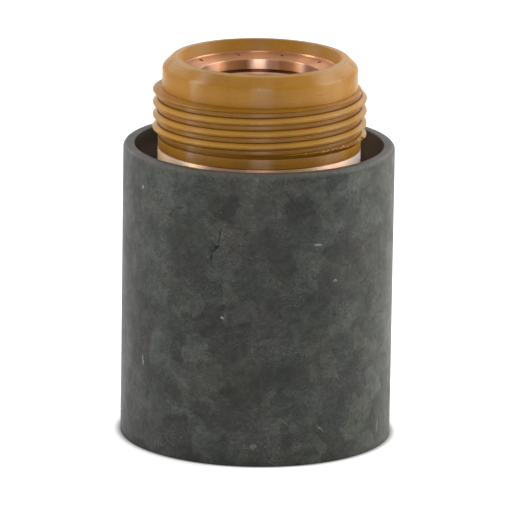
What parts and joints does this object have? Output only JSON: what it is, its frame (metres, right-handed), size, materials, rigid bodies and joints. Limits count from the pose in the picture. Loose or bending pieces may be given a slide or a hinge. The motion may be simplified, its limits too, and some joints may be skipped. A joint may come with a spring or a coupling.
{
  "type": "plasma torch retaining cap",
  "caption": "Round retaining cap: dark insulating sleeve, threaded insulating nose ring and a copper core with a nozzle bore, gas holes and a rear inside thread.",
  "frame": {"origin": "centre of the foot of the outer sleeve, in the plane of its end face", "axes": "+Z along the axis of the cap, from the foot towards the mouth; +X points at no feature, and -Y is the side that the picture shows"},
  "size_m": [0.0342, 0.0342, 0.0487],
  "materials": {
    "sleeve_composite": "dull, mottled, fibre filled",
    "ring_plastic": "machined satin",
    "copper": "turned bright copper"
  },
  "bodies": {
    "root": {"outer_sleeve": "sleeve_composite", "thread_ring": "ring_plastic", "copper_core": "copper"}
  },
  "joints": []
}
